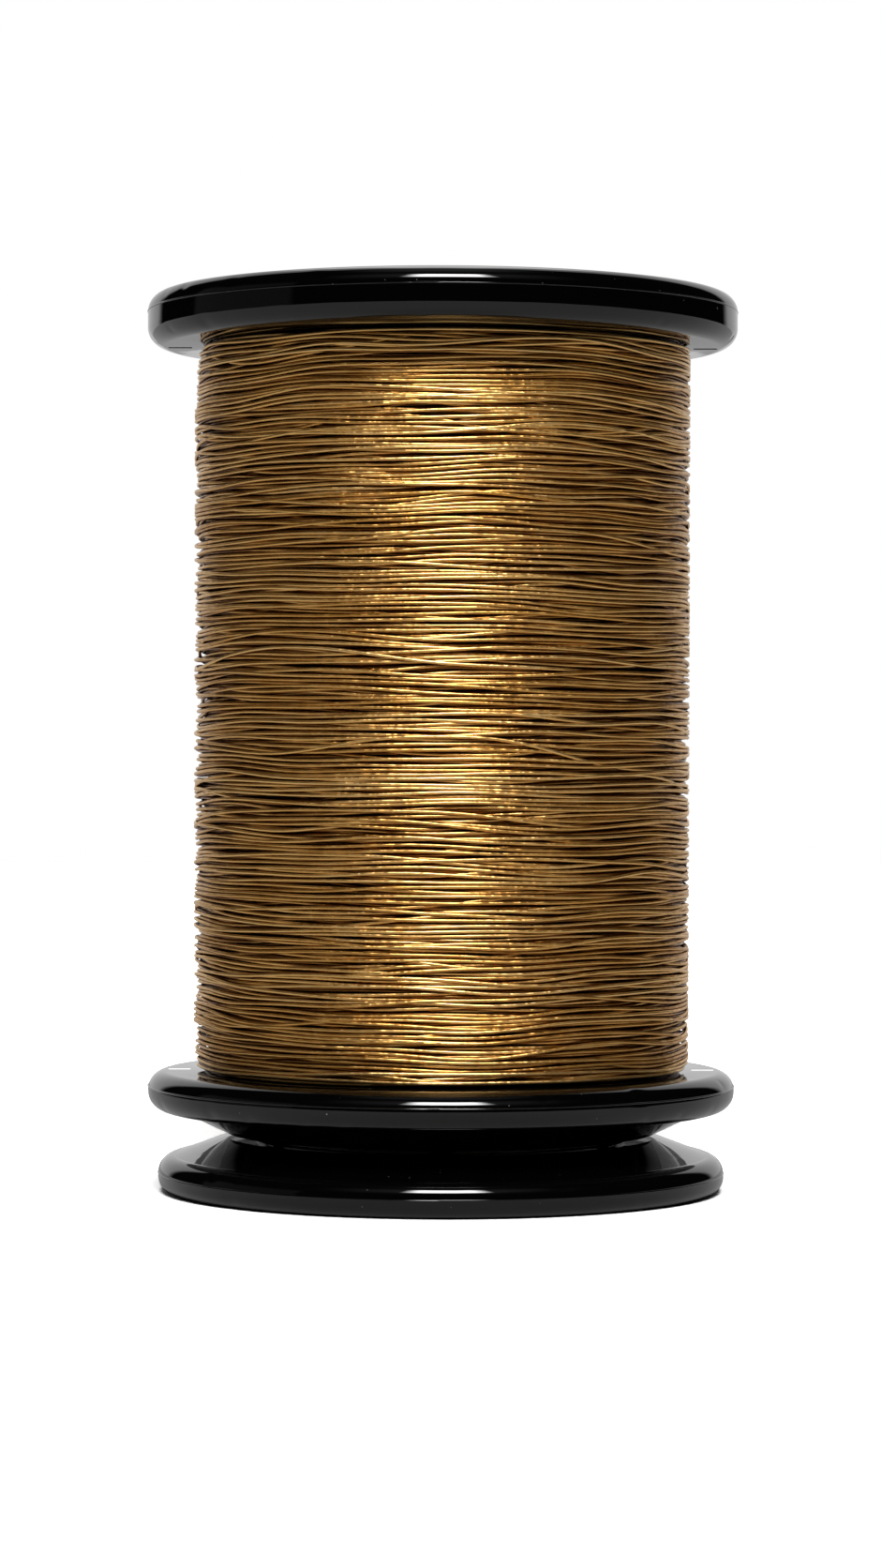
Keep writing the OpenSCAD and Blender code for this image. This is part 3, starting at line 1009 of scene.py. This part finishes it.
# %% The paper's recipe
def paper(name):
    """Uncoated paper, rubbed grey near its outer edge."""
    material, recipe = new_material(name)
    position = position_mm(recipe)
    mottle = noise(recipe, position, 1.6, 5.0, 0.6)
    fibres = scratches(recipe, position, (0.0, 0.0, 0.6), (1.0, 0.2, 1.0), 9.0, 0.03)
    across = position * (1.0, 1.0, 0.0)
    distance = recipe.add("ShaderNodeVectorMath", {"operation": "LENGTH"}, {0: across})
    rubbed = distance["Value"].step(label_outer_r - 0.9, label_outer_r) * mottle.step(0.35, 0.65)
    clean = recipe.mix_colour(mottle, (0.74, 0.71, 0.63), (0.86, 0.84, 0.77))
    fibrous = recipe.mix_colour(fibres * 0.25, clean, (0.66, 0.62, 0.52))
    colour = recipe.mix_colour(rubbed * 0.35, fibrous, (0.45, 0.42, 0.36))
    bump = recipe.add("ShaderNodeBump", {}, {
        "Height": mottle + fibres * 0.4, "Strength": 0.4, "Distance": 0.00002})
    shader = recipe.add("ShaderNodeBsdfPrincipled", {}, {
        "Base Color": colour, "Roughness": 0.82 + 0.1 * mottle, "Normal": bump})
    recipe.add("ShaderNodeOutputMaterial", {}, {"Surface": shader})
    return material


label_finish = paper("blank_paper")

# %% [markdown]
# ## Put the pieces on the frame
#
# Each piece gets its finish and the body that it moves with. The node of the frame that a
# piece stands for is then not shown.

# %% Finish and body of each piece
def place(piece, finish, slot_name, body, *nodes):
    """Gives a piece its finish and its place in the frame."""
    piece.data.materials.clear()
    piece.data.materials.append(finish)
    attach(piece, body)
    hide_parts(*nodes)


place(spool_body, plastic, "black_plastic", "spool", "spool_body")
place(snap_base, plastic, "black_plastic", "base", "snap_base")
for piece in wire_pieces:
    place(piece, wire_finish, "gold_wire", "spool", "wire_winding")
inner_winding.data.materials[0] = deep_wire_finish
place(start_tail, wire_end_finish, "gold_wire", "spool", "wire_start_tail")
place(finish_tail, wire_end_finish, "gold_wire", "spool", "wire_finish_tail")
for node in ("top_label", "base_label"):
    label = frame["nodes"][node]
    label.data.materials.clear()
    label.data.materials.append(label_finish)
print("pieces placed:", 4 + len(wire_pieces), "and two labels")

# %% [markdown]
# ## The studio
#
# The spool stands on a pale floor before a white backdrop, with one soft box above the
# camera. Glossy black plastic mirrors the whole room, so the room is drawn as a sky: a bright
# box above the front, a dark front half where the camera is, and white behind. The camera
# itself sees plain white.

# %% Directions of the sky
def between(value, low, high, soft):
    """1 where a signal is between two values, with soft ends."""
    return value.step(low - soft, low + soft) * (1 - value.step(high - soft, high + soft))


world = bpy.data.worlds.new("studio")
world.use_nodes = True
bpy.context.scene.world = world
sky = Recipe(world.node_tree)
direction = sky.add("ShaderNodeTexCoord")["Generated"]
parts_of = sky.add("ShaderNodeSeparateXYZ", {}, {"Vector": direction})
to_degrees = 180 / math.pi
elevation = sky.add("ShaderNodeMath", {"operation": "ARCSINE"}, {0: parts_of["Z"]}) * to_degrees
azimuth = sky.add("ShaderNodeMath", {"operation": "ARCTAN2"}, {
    0: parts_of["X"], 1: parts_of["Y"] * -1}) * to_degrees
away = sky.add("ShaderNodeMath", {"operation": "ABSOLUTE"}, {0: azimuth})

# %% Light of the sky
# Azimuth is 0 from the spool towards the camera and grows to the camera's right
soft_box = between(azimuth, -14, 20, 6) * between(elevation, 41, 58, 1.5)
halo = between(azimuth, -40, 46, 30) * between(elevation, 40, 60, 12)
backdrop = away.step(139, 147) * (1 - elevation.step(60, 80))
left_card = between(azimuth, -111, -60, 2) * (1 - elevation.step(20, 30))
rear_box = away.step(160, 172) * between(elevation, 40, 70, 5)
ceiling = elevation.step(66, 90)
dark_room = 0.004
light = (soft_box * 29 + halo * 0.22 + backdrop * 0.75 + left_card * 0.07
         + rear_box * 2.5 + ceiling * 0.25 + dark_room)
seen_directly = sky.add("ShaderNodeLightPath")["Is Camera Ray"]
strength = seen_directly + (1 - seen_directly) * light
background = sky.add("ShaderNodeBackground", {}, {"Color": (1, 1, 1, 1), "Strength": strength})
sky.add("ShaderNodeOutputWorld", {}, {"Surface": background})

# %% The floor
floor_half = 400.0
floor_corners = np.array([[-1, -1, 0], [1, -1, 0], [1, 1, 0], [-1, 1, 0]]) * floor_half
floor = make_object("floor", [(floor_corners, [[0, 1, 2, 3]])])
floor_finish, floor_recipe = new_material("pale_floor")
cloudy = noise(floor_recipe, position_mm(floor_recipe), 0.4, 3.0)
pale = floor_recipe.mix_colour(cloudy, (0.42, 0.42, 0.42), (0.46, 0.46, 0.46))
mirrored = floor_recipe.add("ShaderNodeBsdfDiffuse", {}, {"Color": pale})
seen = floor_recipe.add("ShaderNodeBsdfDiffuse", {}, {"Color": (1.7, 1.7, 1.7, 1)})
camera_ray = floor_recipe.add("ShaderNodeLightPath")["Is Camera Ray"]
both = floor_recipe.add("ShaderNodeMixShader", {}, {"Fac": camera_ray, 1: mirrored, 2: seen})
floor_recipe.add("ShaderNodeOutputMaterial", {}, {"Surface": both})
floor.data.materials.append(floor_finish)

# %% [markdown]
# ## The camera
#
# A long lens stands about 145 mm away at half the spool's height, so both rims are seen from
# the side. It is tilted a hair down and rolled a hair to one side.

# %% Camera
camera_data = bpy.data.cameras.new("camera")
lens_mm, sensor_mm = 97.87, 36
camera_place = (-0.026, -144.92, 15.07)
tilt_down, roll = 0.504, -0.149
camera_data.lens, camera_data.sensor_width = lens_mm, sensor_mm
camera_data.clip_start, camera_data.clip_end = 0.01, 10
camera = bpy.data.objects.new("camera", camera_data)
bpy.context.scene.collection.objects.link(camera)
camera.location = Vector(camera_place) * MM
camera.rotation_euler = (math.radians(90 - tilt_down), math.radians(roll), 0)
bpy.context.scene.camera = camera
bpy.context.scene.view_settings.view_transform = "Standard"
